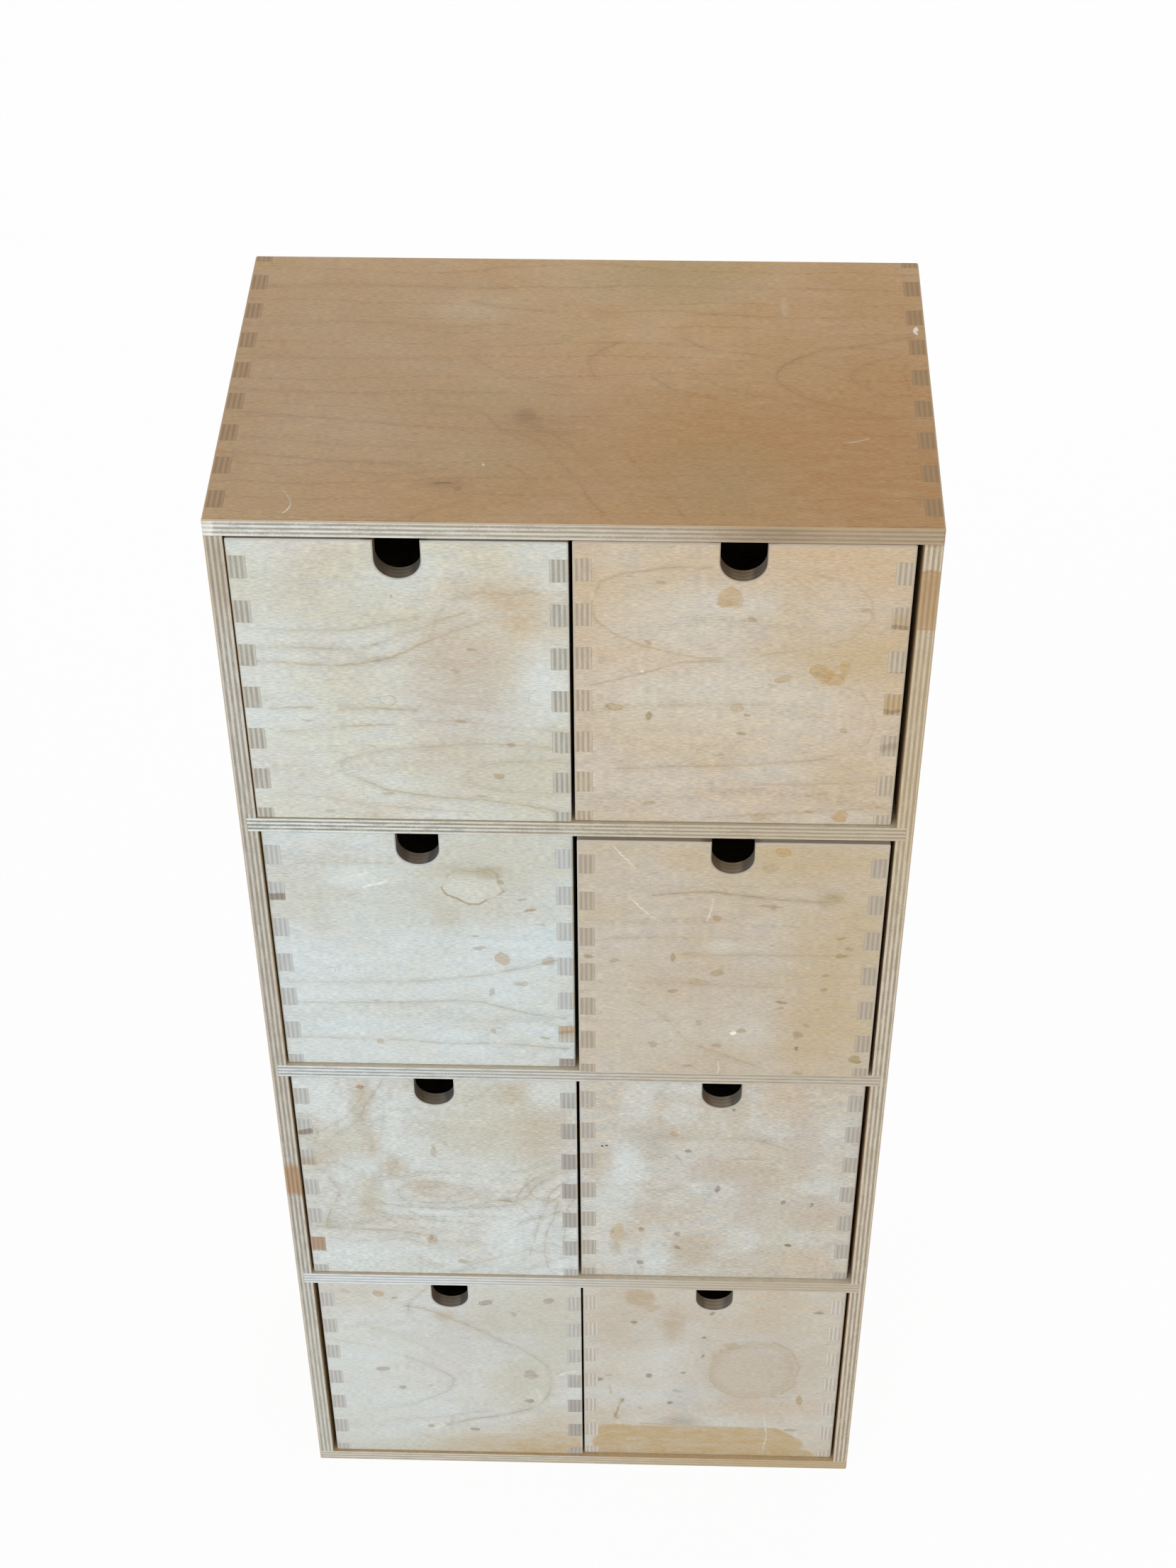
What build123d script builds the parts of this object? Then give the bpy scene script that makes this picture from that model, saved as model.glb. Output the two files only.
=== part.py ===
from build123d import *
import os

# Plywood drawer organizer: a box-jointed carcase with housed shelves, and loose box-jointed drawers
# that are pulled by a notch in their front. Millimetres, +Z up, front towards -Y, origin under the
# middle of the base.

# Outside of the cabinet
cabinet_width = 310.0
cabinet_depth = 206.0
cabinet_height = 684.0

# Plywood sheets
carcase_ply = 8.0
shelf_ply = 8.0
back_ply = 4.0
drawer_ply = 8.0
drawer_bottom_ply = 4.0

# Box joints: every finger is as wide as the cutter, and the first tab sets where the row of fingers starts
finger_width = 12.0
shortest_finger = 2.0
carcase_first_tab = 9.0
drawer_first_tab = 8.7
glue_gap = 0.05

# One depth of cut for the shelves' housings and the back's groove in the carcase, another for the drawers
housing_depth = 4.5
back_inset = 6.0
drawer_groove_depth = 4.0
drawer_groove_lift = 8.5
groove_clearance = 0.1

# Room for the drawers in their bays
side_play = 5.2
top_play = 1.8
depth_play = 3.0
runner_clearance = 0.2
stop_clearance = 0.3

# Finger notch in a drawer's front, and the sanded edges of every box
notch_width = 20.0
notch_depth = 20.0
notch_easing = 0.5
edge_easing = 0.6

# How the loose drawers sit, one entry to a row from the top, and in it one to a drawer from the left:
# the gap on a drawer's left as a share of the side play, and its recess as a share of the depth play,
# below zero where it stands proud
gap_shares = [(0.13, 0.33), (0.20, 0.40), (0.26, 0.30), (0.48, 0.23)]
recess_shares = [(0.12, 0.45), (0.65, -0.42), (0.45, 0.85), (0.45, 0.85)]
column_names = ["left", "right"]
shelf_names = ["upper_shelf", "middle_shelf", "lower_shelf"]

# Sizes that follow from these
rows = len(gap_shares)
columns = len(column_names)
finger_pitch = 2 * finger_width
inner_width = cabinet_width - 2 * carcase_ply
inner_height = cabinet_height - 2 * carcase_ply
bay_height = (inner_height - (rows - 1) * shelf_ply) / rows
bay_depth = cabinet_depth - back_inset - back_ply
front_y = -cabinet_depth / 2
back_panel_y = front_y + bay_depth + back_ply / 2
drawer_width = (inner_width - side_play) / columns
drawer_height = bay_height - runner_clearance - top_play
drawer_depth = bay_depth - depth_play - stop_clearance
drawer_inner_width = drawer_width - 2 * drawer_ply
drawer_inner_depth = drawer_depth - 2 * drawer_ply
drawer_bottom_z = drawer_groove_lift + drawer_bottom_ply / 2


def finger_spans(length, first_tab):
    """Start and end of each finger along a joint; the last finger may run out at the edge."""
    spans = []
    start = first_tab
    while start + shortest_finger < length:
        end = start + finger_width
        if end + shortest_finger > length:
            end = length
        spans.append((start, end))
        start += finger_pitch
    return spans


def tab_spans(length, first_tab):
    """Start and end of each stretch between the fingers, where the other panel's tabs lie."""
    ends = [0]
    for span in finger_spans(length, first_tab):
        ends.extend(span)
    ends.append(length)
    return [(start, end) for start, end in zip(ends[::2], ends[1::2]) if end > start]


def cut_back_groove():
    """The groove in the carcase's four walls that holds the back panel."""
    with Locations((0, back_panel_y, cabinet_height / 2)):
        Box(
            inner_width + 2 * housing_depth,
            back_ply + 2 * groove_clearance,
            inner_height + 2 * housing_depth,
            mode=Mode.SUBTRACT,
        )


def cut_bottom_groove():
    """The groove in a drawer's four walls that holds its bottom."""
    with Locations((0, drawer_depth / 2, drawer_bottom_z)):
        Box(
            drawer_inner_width + 2 * drawer_groove_depth,
            drawer_inner_depth + 2 * drawer_groove_depth,
            drawer_bottom_ply + 2 * groove_clearance,
            mode=Mode.SUBTRACT,
        )


# The outside of the glued carcase and of a glued drawer, with their edges sanded
with BuildPart() as carcase_block:
    with Locations((0, 0, cabinet_height / 2)):
        Box(cabinet_width, cabinet_depth, cabinet_height)
    chamfer(carcase_block.edges(), edge_easing)

with BuildPart() as drawer_block:
    with Locations((0, drawer_depth / 2, drawer_height / 2)):
        Box(drawer_width, drawer_depth, drawer_height)
    chamfer(drawer_block.edges(), edge_easing)

# Carcase: the top and the bottom have sockets for the fingers of the sides
carcase_fingers = finger_spans(cabinet_depth, carcase_first_tab)
carcase_tabs = tab_spans(cabinet_depth, carcase_first_tab)

with BuildPart() as top_panel:
    with BuildSketch(Plane.XY.offset(cabinet_height - carcase_ply)):
        Rectangle(cabinet_width, cabinet_depth)
        for start, end in carcase_fingers:
            socket_y = front_y + (start + end) / 2
            with Locations((-cabinet_width / 2, socket_y), (cabinet_width / 2, socket_y)):
                Rectangle(
                    2 * (carcase_ply + glue_gap), end - start + 2 * glue_gap, mode=Mode.SUBTRACT
                )
    extrude(amount=carcase_ply)
    cut_back_groove()
    add(carcase_block.part, mode=Mode.INTERSECT)

with BuildPart() as bottom_panel:
    mirror(top_panel.part, about=Plane.XY.offset(cabinet_height / 2))

# The sides have sockets for the tabs of the top and the bottom, and a housing for each shelf
shelf_heights = []
for row in range(1, rows):
    shelf_heights.append(carcase_ply + row * bay_height + (row - 1) * shelf_ply + shelf_ply / 2)
shelf_heights.reverse()

with BuildPart() as left_side:
    with BuildSketch(Plane.YZ.offset(-cabinet_width / 2)):
        with Locations((0, cabinet_height / 2)):
            Rectangle(cabinet_depth, cabinet_height)
        for start, end in carcase_tabs:
            socket_y = front_y + (start + end) / 2
            with Locations((socket_y, 0), (socket_y, cabinet_height)):
                Rectangle(end - start, 2 * (carcase_ply + glue_gap), mode=Mode.SUBTRACT)
    extrude(amount=carcase_ply)
    with Locations([(-inner_width / 2, front_y, height) for height in shelf_heights]):
        Box(
            2 * housing_depth,
            2 * bay_depth,
            shelf_ply + 2 * glue_gap,
            mode=Mode.SUBTRACT,
        )
    cut_back_groove()
    add(carcase_block.part, mode=Mode.INTERSECT)

with BuildPart() as right_side:
    mirror(left_side.part, about=Plane.YZ)

with BuildPart() as back_panel:
    with Locations((0, back_panel_y, cabinet_height / 2)):
        Box(
            inner_width + 2 * (housing_depth - groove_clearance),
            back_ply,
            inner_height + 2 * (housing_depth - groove_clearance),
        )

# One shelf, its middle at z = 0: its ends fill the housings, and it stops just short of the back panel
with BuildPart() as shelf:
    with Locations((0, front_y, 0)):
        Box(
            inner_width + 2 * (housing_depth - glue_gap),
            bay_depth - groove_clearance,
            shelf_ply,
            align=(Align.CENTER, Align.MIN, Align.CENTER),
        )

# A drawer in its own frame: front face at y = 0, lower edges at z = 0
drawer_fingers = finger_spans(drawer_height, drawer_first_tab)
drawer_tabs = tab_spans(drawer_height, drawer_first_tab)

with BuildPart() as drawer_back:
    with BuildSketch(Plane.XZ.offset(-drawer_depth)):
        with Locations((0, drawer_height / 2)):
            Rectangle(drawer_width, drawer_height)
        for start, end in drawer_fingers:
            socket_z = drawer_height - (start + end) / 2
            with Locations((-drawer_width / 2, socket_z), (drawer_width / 2, socket_z)):
                Rectangle(
                    2 * (drawer_ply + glue_gap), end - start + 2 * glue_gap, mode=Mode.SUBTRACT
                )
    extrude(amount=drawer_ply)
    cut_bottom_groove()
    add(drawer_block.part, mode=Mode.INTERSECT)

# The front is the back's twin with a notch for a finger, open at the top and eased along its front edge
with BuildPart() as drawer_front:
    mirror(drawer_back.part, about=Plane.XZ.offset(-drawer_depth / 2))
    with BuildSketch(Plane.XZ.offset(-drawer_ply / 2)):
        with Locations((0, drawer_height)):
            SlotOverall(2 * notch_depth, notch_width, rotation=90)
    extrude(amount=drawer_ply, both=True, mode=Mode.SUBTRACT)
    front_edges = drawer_front.faces().sort_by(Axis.Y)[0].edges()
    notch_edges = front_edges.filter_by(
        lambda edge: abs(edge.center().X) < notch_width and edge.center().Z > drawer_height / 2
    )
    chamfer(notch_edges, notch_easing)

with BuildPart() as drawer_left_side:
    with BuildSketch(Plane.YZ.offset(-drawer_width / 2)):
        with Locations((drawer_depth / 2, drawer_height / 2)):
            Rectangle(drawer_depth, drawer_height)
        for start, end in drawer_tabs:
            socket_z = drawer_height - (start + end) / 2
            with Locations((0, socket_z), (drawer_depth, socket_z)):
                Rectangle(2 * (drawer_ply + glue_gap), end - start, mode=Mode.SUBTRACT)
    extrude(amount=drawer_ply)
    cut_bottom_groove()
    add(drawer_block.part, mode=Mode.INTERSECT)

with BuildPart() as drawer_right_side:
    mirror(drawer_left_side.part, about=Plane.YZ)

with BuildPart() as drawer_bottom:
    with Locations((0, drawer_depth / 2, drawer_bottom_z)):
        Box(
            drawer_inner_width + 2 * (drawer_groove_depth - groove_clearance),
            drawer_inner_depth + 2 * (drawer_groove_depth - groove_clearance),
            drawer_bottom_ply,
        )

# Every piece under its own name: the carcase, then the shelves, then the drawers in their bays
os.makedirs("parts", exist_ok=True)

carcase_pieces = {
    "top_panel": top_panel,
    "bottom_panel": bottom_panel,
    "left_side": left_side,
    "right_side": right_side,
    "back_panel": back_panel,
}
for name, piece in carcase_pieces.items():
    piece.part.label = name
    export_step(piece.part, f"parts/{name}.step")

for name, height in zip(shelf_names, shelf_heights):
    placed = shelf.part.moved(Location((0, 0, height)))
    placed.label = name
    export_step(placed, f"parts/{name}.step")

drawer_pieces = {
    "front": drawer_front,
    "back": drawer_back,
    "left_side": drawer_left_side,
    "right_side": drawer_right_side,
    "bottom": drawer_bottom,
}
for row in range(rows):
    bay_floor = carcase_ply + (rows - 1 - row) * (bay_height + shelf_ply)
    left_edge = -inner_width / 2
    for column in range(columns):
        left_edge += side_play * gap_shares[row][column]
        place = Location(
            (
                left_edge + drawer_width / 2,
                front_y + depth_play * recess_shares[row][column],
                bay_floor + runner_clearance,
            )
        )
        left_edge += drawer_width
        for name, piece in drawer_pieces.items():
            placed = piece.part.moved(place)
            placed.label = f"row{row + 1}_{column_names[column]}_drawer_{name}"
            export_step(placed, f"parts/{placed.label}.step")
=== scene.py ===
from collections import namedtuple
from itertools import chain
from math import radians

import bpy
from mathutils import Euler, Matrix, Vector


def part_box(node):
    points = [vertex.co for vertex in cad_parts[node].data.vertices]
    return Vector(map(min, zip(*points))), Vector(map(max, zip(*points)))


# A plywood drawer organizer: every panel is a CAD node, and this script gives each one its own birch
# plywood, with a veneer on its faces and the plies on its edges. Metres, in the frame of the CAD parts.
# Places on a panel are in millimetres from the panel's lower left corner: along the grain, across it,
# and through the sheet.

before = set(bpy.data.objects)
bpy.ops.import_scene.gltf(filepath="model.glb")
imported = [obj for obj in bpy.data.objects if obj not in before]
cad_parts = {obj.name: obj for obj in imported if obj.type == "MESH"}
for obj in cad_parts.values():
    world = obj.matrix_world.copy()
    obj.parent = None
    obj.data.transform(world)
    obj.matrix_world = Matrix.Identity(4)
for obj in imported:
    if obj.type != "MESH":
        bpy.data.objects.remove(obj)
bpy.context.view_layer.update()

# Millimetres in a metre, and a distance beyond any panel
MM = 1000.0
FAR = 1.0e6

# The camera, set to the photograph's six visible corners of the cabinet
PICTURE_HEIGHT = 2212
CAMERA_PLACE = (0.0360, -1.0337, 1.3781)
CAMERA_TURN = (45.034, 0.292, 1.594)
CAMERA_LENS = 63.54
PICTURE_CENTRE_DROP = 201.6

# Floor and light
WHITE = (1.0, 1.0, 1.0, 1.0)
FLOOR_SIDE = 8.0
FLOOR_PAINT = (0.86, 0.86, 0.86, 1.0)
FLOOR_WHITE_SHARE = 0.95
SURROUND_STRENGTH = 0.5
LAMP_AIM = (0.0, 0.0, 0.35)

# Plies in a sheet
THICK_PLIES = 7
THIN_PLIES = 3

# The grain of the veneer, in waves to a millimetre along it and across it
MOTTLE_WAVES = (0.11, 0.19, 0.0)
PORE_WAVES = (0.34, 1.5, 0.0)
PATCH_WAVES = (0.07, 0.07, 0.0)
STREAK_WAVES = (0.07, 0.24, 0.0)
WANDER_WAVES = (0.007, 0.022, 0.0)
JITTER_WAVES = (0.06, 0.15, 0.0)
FLECK_WAVES = (0.05, 0.17, 0.0)

# How far mottles and pores lighten and darken a veneer whose grain is 1
MOTTLE_SPREAD = 0.075
PORE_SPREAD = 0.115

# How far growth lines stray, in rings: in long waves for a wander of 1, and in small ones
WANDER_RINGS = 4.0
JITTER_RINGS = 0.25

# How much light is left of each colour on a growth line and on a fleck
RING_SHADE = (0.66, 0.57, 0.45, 1.0)
FLECK_SHADE = (0.70, 0.64, 0.55, 1.0)
FLECK_STRENGTH = 0.5

# An edge's tone beside its veneer's, its dark plies' beside the light ones', a sanded corner's beside the
# cool veneer's, and how much light the plies leave on an edge's stains and painted shade. The sanded
# corner's paler tone is partly fresh wood and partly a painted highlight where the corner catches the
# light
EDGE_TONE = (0.925, 0.912, 0.91)
DARK_PLY_TONE = 0.97
SANDED_HIGHLIGHT_TONE = 1.04
LIGHT_PLY_SHADE = 1.05
DARK_PLY_SHADE = 0.89

# The steps through the noise from panel to panel, and to a second pattern on the same panel
FACE_STEP = (431.0, 177.0, 0.0)
EDGE_STEP = (91.0, 67.0, 0.0)
SECOND_PATTERN = (5000.0, 3000.0, 0.0)

# The bare wood's surface, rougher in its pores than on its crests
PORE_ROUGHNESS = 0.74
CREST_ROUGHNESS = 0.60
SPECULAR_LEVEL = 0.3
RELIEF_STRENGTH = 0.35
RELIEF_HEIGHT = 0.00025


def srgb(red, green, blue):
    """A colour as a screen shows it, 0 to 255, in the linear values that shaders take."""
    linear = []
    for level in (red, green, blue):
        share = level / 255
        linear.append(share / 12.92 if share <= 0.04045 else ((share + 0.055) / 1.055) ** 2.4)
    return (*linear, 1.0)


def scaled(values, share):
    return tuple(value * share for value in values)


# Colours of the marks on the wood
TINTS = {
    "pale": (216, 223, 222),
    "cream": (218, 219, 208),
    "white": (242, 239, 230),
    "straw": (197, 194, 176),
    "rose": (192, 178, 161),
    "peach": (202, 174, 138),
    "sand": (192, 169, 129),
    "amber": (186, 152, 98),
    "tan": (182, 162, 130),
    "olive": (160, 143, 102),
    "grey": (172, 167, 153),
    "brown": (164, 138, 104),
    "aged": (158, 126, 88),
    "dusk": (168, 144, 120),
    "chestnut": (168, 122, 72),
    "rust": (166, 122, 74),
    "drab": (142, 128, 110),
    "umber": (112, 82, 55),
    "slate": (98, 90, 82),
    "black": (36, 31, 28),
}

# A mark is an ellipse, and a hill lifts the growth rings around it
Mark = namedtuple("Mark", "tint u v half_u half_v fill rim softness rim_width")
Hill = namedtuple("Hill", "u v half_u half_v rings")


def stain_and_shade(tint, *rows):
    """Spots with a fairly clear edge: their middle, half sizes, fill, and a rim that can be stronger. Most
    are stains; on a notch's cut edge they are partly painted shade.
    """
    marks = []
    for u, v, half_u, half_v, *given in rows:
        fill, rim = (*given, *(0.5, 0.0)[len(given):])
        marks.append(Mark(tint, u, v, half_u, half_v, fill, rim, 0.25, 0.22))
    return marks


def haze(tint, *rows):
    """Tints that fade out softly: their middle, half sizes and fill."""
    return [Mark(tint, *row, 0.0, 0.8, 0.2) for row in rows]


def blot(tint, *rows):
    """Tints with a faint edge, as a damp patch leaves."""
    return [Mark(tint, *row, 0.0, 0.4, 0.2) for row in rows]


def darkened(tint, *rows):
    """Stretches of an edge that have darkened with the panel beside it."""
    return [Mark(tint, *row, 0.0, 0.2, 0.2) for row in rows]


def outline(tint, *rows):
    """Closed lines of one growth ring, or of a dried drop: their middle, half sizes and rim."""
    return [Mark(tint, *row[:4], 0.0, row[4], 0.1, 0.07) for row in rows]


def line(strength, *points):
    """A growth line through these points."""
    return strength, points


def stroke(tint, width, strength, *points, soft=2.5):
    """A tinted line through these points: its width to each side, and how much of that is soft."""
    return tint, width, strength, points, min(width, soft)


class Graph:
    """A node tree in the making; its methods add nodes and give them or their outputs."""

    def __init__(self, tree):
        self.tree = tree

    def node(self, kind, values=None, **settings):
        made = self.tree.nodes.new(kind)
        for name, setting in settings.items():
            setattr(made, name, setting)
        for key, value in (values or {}).items():
            if isinstance(value, bpy.types.NodeSocket):
                self.tree.links.new(value, made.inputs[key])
            else:
                made.inputs[key].default_value = value
        return made

    def group(self, name, values):
        return self.node("ShaderNodeGroup", values, node_tree=GROUPS[name]).outputs[0]

    def math(self, operation, first, second=0.0, clamp=False):
        made = self.node("ShaderNodeMath", {0: first, 1: second}, operation=operation, use_clamp=clamp)
        return made.outputs[0]

    def vector(self, operation, first, second):
        made = self.node("ShaderNodeVectorMath", {0: first, 1: second}, operation=operation)
        return made.outputs["Vector"]

    def measure(self, operation, first, second=(0.0, 0.0, 0.0)):
        made = self.node("ShaderNodeVectorMath", {0: first, 1: second}, operation=operation)
        return made.outputs["Value"]

    def stretch(self, vector, amount):
        made = self.node("ShaderNodeVectorMath", {0: vector, "Scale": amount}, operation="SCALE")
        return made.outputs["Vector"]

    def step(self, value, low, high, to_low=0.0, to_high=1.0):
        """Goes smoothly from to_low to to_high while the value goes from low to high."""
        values = {"Value": value, "From Min": low, "From Max": high, "To Min": to_low, "To Max": to_high}
        made = self.node("ShaderNodeMapRange", values, interpolation_type="SMOOTHSTEP")
        return made.outputs["Result"]

    def mix(self, share, first, second, blend="MIX"):
        values = {0: share, 6: first, 7: second}
        made = self.node("ShaderNodeMix", values, data_type="RGBA", blend_type=blend)
        return made.outputs[2]

    def noise(self, place, waves, detail=2.0, colour=False):
        """Smooth noise, 0 to 1, with its own number of waves to a millimetre in each direction."""
        values = {"Vector": self.vector("MULTIPLY", place, waves), "Scale": 1.0, "Detail": detail}
        return self.node("ShaderNodeTexNoise", values).outputs[1 if colour else 0]

    def shake(self, place, waves, amount):
        """An uneven offset of up to about half the amount each way."""
        colour = self.noise(place, waves, 3.0, colour=True)
        return self.stretch(self.vector("SUBTRACT", colour, (0.5, 0.5, 0.5)), amount)

    def split(self, vector):
        return self.node("ShaderNodeSeparateXYZ", {0: vector}).outputs

    def join(self, x, y, z):
        return self.node("ShaderNodeCombineXYZ", {0: x, 1: y, 2: z}).outputs[0]

    def seen(self):
        """1 where the camera looks, also by a reflection or through glass, and 0 for other light."""
        path = self.node("ShaderNodeLightPath").outputs
        seen = self.math("MAXIMUM", path["Is Camera Ray"], path["Is Glossy Ray"])
        return self.math("MAXIMUM", seen, path["Is Transmission Ray"])


def emptied_graph(owner):
    """The node tree of a material or a world, without the nodes that it starts with."""
    owner.use_nodes = True
    owner.node_tree.nodes.clear()
    return Graph(owner.node_tree)


def new_group(name, inputs, outputs):
    """An empty node group with these sockets, as its graph, its inputs and its outputs."""
    group = bpy.data.node_groups.new(name, "ShaderNodeTree")
    kinds = {"v": "NodeSocketVector", "f": "NodeSocketFloat", "c": "NodeSocketColor"}
    for label, kind in inputs.items():
        group.interface.new_socket(label, in_out="INPUT", socket_type=kinds[kind])
    for label, kind in outputs.items():
        group.interface.new_socket(label, in_out="OUTPUT", socket_type=kinds[kind])
    graph = Graph(group)
    return graph, graph.node("NodeGroupInput").outputs, graph.node("NodeGroupOutput").inputs


def make_mark_group():
    """Tints a colour inside an ellipse, along its rim, or both; neither is even."""
    graph, given, result = new_group(
        "mark",
        {"Colour": "c", "Place": "v", "Centre": "v", "Half": "v", "Tint": "c", "Fill": "f", "Rim": "f",
         "Softness": "f", "Rim width": "f", "Patches": "f", "Streaks": "f"},
        {"Colour": "c"},
    )
    away = graph.vector("SUBTRACT", given["Place"], given["Centre"])
    reach = graph.measure("LENGTH", graph.vector("DIVIDE", away, given["Half"]))
    inner = graph.math("SUBTRACT", 1.0, given["Softness"])
    outer = graph.math("ADD", 1.0, given["Softness"])
    inside = graph.math("MULTIPLY", graph.step(reach, inner, outer, 1.0, 0.0), given["Fill"])
    inside = graph.math("MULTIPLY", inside, given["Streaks"])
    off_rim = graph.math("ABSOLUTE", graph.math("SUBTRACT", reach, 1.0))
    rim = graph.step(off_rim, 0.0, given["Rim width"], 1.0, 0.0)
    rim = graph.math("MULTIPLY", graph.math("MULTIPLY", rim, given["Rim"]), given["Patches"])
    share = graph.math("MAXIMUM", inside, rim)
    graph.tree.links.new(graph.mix(share, given["Colour"], given["Tint"]), result["Colour"])
    return graph.tree


def make_reach_group():
    """Takes a track, a place on the panel with the distance to a line so far, past a stretch of the line.

    The track goes through every stretch in turn, so that a shader never has to hold many values at once.
    """
    graph, given, result = new_group("reach", {"Track": "v", "From": "v", "To": "v"}, {"Track": "v"})
    u, v, near = graph.split(given["Track"])
    run = graph.vector("SUBTRACT", given["To"], given["From"])
    away = graph.vector("SUBTRACT", graph.join(u, v, 0.0), given["From"])
    square = graph.measure("DOT_PRODUCT", run, run)
    share = graph.math("DIVIDE", graph.measure("DOT_PRODUCT", away, run), square, clamp=True)
    off = graph.measure("DISTANCE", away, graph.stretch(run, share))
    graph.tree.links.new(graph.join(u, v, graph.math("MINIMUM", off, near)), result["Track"])
    return graph.tree


def make_hill_group():
    """Adds a smooth hill to the field whose level lines are the growth rings."""
    graph, given, result = new_group(
        "hill", {"Field": "f", "Place": "v", "Centre": "v", "Half": "v", "Rings": "f"}, {"Field": "f"}
    )
    away = graph.vector("SUBTRACT", given["Place"], given["Centre"])
    reach = graph.vector("DIVIDE", away, given["Half"])
    square = graph.measure("DOT_PRODUCT", reach, reach)
    hill = graph.math("EXPONENT", graph.math("MULTIPLY", square, -1.0))
    height = graph.math("MULTIPLY", hill, given["Rings"])
    graph.tree.links.new(graph.math("ADD", given["Field"], height), result["Field"])
    return graph.tree


GROUPS = {
    "mark": make_mark_group(),
    "reach": make_reach_group(),
    "hill": make_hill_group(),
}


class Wood:
    """How one panel looks.

    Its veneer goes between a cool and a warm tone in clouds, with a blush in places, and grain is how
    strong its fine figure is. Slope and wander lay out its growth lines, which are as dark as ring and as
    broad as line_share. Hills, lines, marks and strokes are its own. Its edge has a light and a dark tone.
    """

    blush = (199, 184, 166)
    blush_share = 0.35
    cloud = (0.018, 0.027)
    grain = 1.0
    slope = 0.05
    wander = 0.6
    ring = 0.3
    line_share = 0.16
    hills = lines = marks = strokes = edge_marks = ()

    def __init__(self, cool, warm, **own):
        self.cool = cool
        self.warm = warm
        middle = [(a + b) / 2 for a, b in zip(cool, warm)]
        light = [level * share for level, share in zip(middle, EDGE_TONE)]
        self.edge = (light, scaled(light, DARK_PLY_TONE))
        for name, value in own.items():
            setattr(self, name, value)


def add_marks(graph, colour, place, marks, patches, streaks):
    """Tints the colour with every list of marks in turn."""
    middle_of_sheet = 4.0
    through_sheet = 40.0
    for mark in chain.from_iterable(marks):
        colour = graph.group("mark", {
            "Colour": colour, "Place": place, "Patches": patches, "Streaks": streaks,
            "Centre": (mark.u, mark.v, middle_of_sheet),
            "Half": (mark.half_u, mark.half_v, through_sheet),
            "Tint": srgb(*TINTS[mark.tint]), "Fill": mark.fill, "Rim": mark.rim,
            "Softness": mark.softness, "Rim width": mark.rim_width,
        })
    return colour


def follow(graph, track, points):
    """A track's place again, with its distance to the line through these points."""
    u, v, _ = graph.split(track)
    track = graph.join(u, v, FAR)
    for start, end in zip(points, points[1:]):
        track = graph.group("reach", {"Track": track, "From": (*start, 0.0), "To": (*end, 0.0)})
    return track


def rounded(points):
    """The same line with its corners cut, so that it bends more gently."""
    if len(points) < 3:
        return points
    cut = 0.25
    rest = 1.0 - cut
    result = []
    for (u, v), (next_u, next_v) in zip(points, points[1:]):
        result.append((rest * u + cut * next_u, rest * v + cut * next_v))
        result.append((cut * u + rest * next_u, cut * v + rest * next_v))
    return [points[0], *result[1:-2], points[-1]]


def add_lines(graph, colour, track, lines, patches):
    """Growth lines: a dark core that comes and goes, with a faint band beside it."""
    core_width = 1.0
    core_share = 0.7
    band_width = 4.0
    band_share = 0.3
    for strength, points in lines:
        track = follow(graph, track, rounded(points))
        near = graph.split(track)[2]
        share = graph.math("MULTIPLY", graph.step(near, 0.0, core_width, core_share, 0.0), patches)
        share = graph.math("ADD", share, graph.step(near, 0.0, band_width, band_share, 0.0))
        share = graph.math("MULTIPLY", share, strength)
        colour = graph.mix(share, colour, RING_SHADE, "MULTIPLY")
    return colour, track


def add_strokes(graph, colour, track, strokes, patches, streaks):
    """Scratches, drips and dried edges; the thin ones come and go, and the broad ones are streaky."""
    broad = 3.0
    for tint, width, strength, points, soft in strokes:
        track = follow(graph, track, points)
        near = graph.split(track)[2]
        share = graph.step(near, width - soft, width, strength, 0.0)
        share = graph.math("MULTIPLY", share, patches if width < broad else streaks)
        colour = graph.mix(share, colour, srgb(*TINTS[tint]))
    return colour


def growth_field(graph, place, flat, wood):
    """A field over the panel whose whole numbers are the growth lines."""
    wander = graph.noise(flat, WANDER_WAVES, 2.0)
    jitter = graph.noise(flat, JITTER_WAVES, 3.0)
    field = graph.math("MULTIPLY", graph.split(place)[1], wood.slope)
    field = graph.math("ADD", field, graph.math("MULTIPLY", wander, WANDER_RINGS * wood.wander))
    field = graph.math("ADD", field, graph.math("MULTIPLY", jitter, JITTER_RINGS))
    for hill in wood.hills:
        field = graph.group("hill", {
            "Field": field, "Place": place, "Centre": (hill.u, hill.v, 0.0),
            "Half": (hill.half_u, hill.half_v, FAR), "Rings": hill.rings,
        })
    return field


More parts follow.
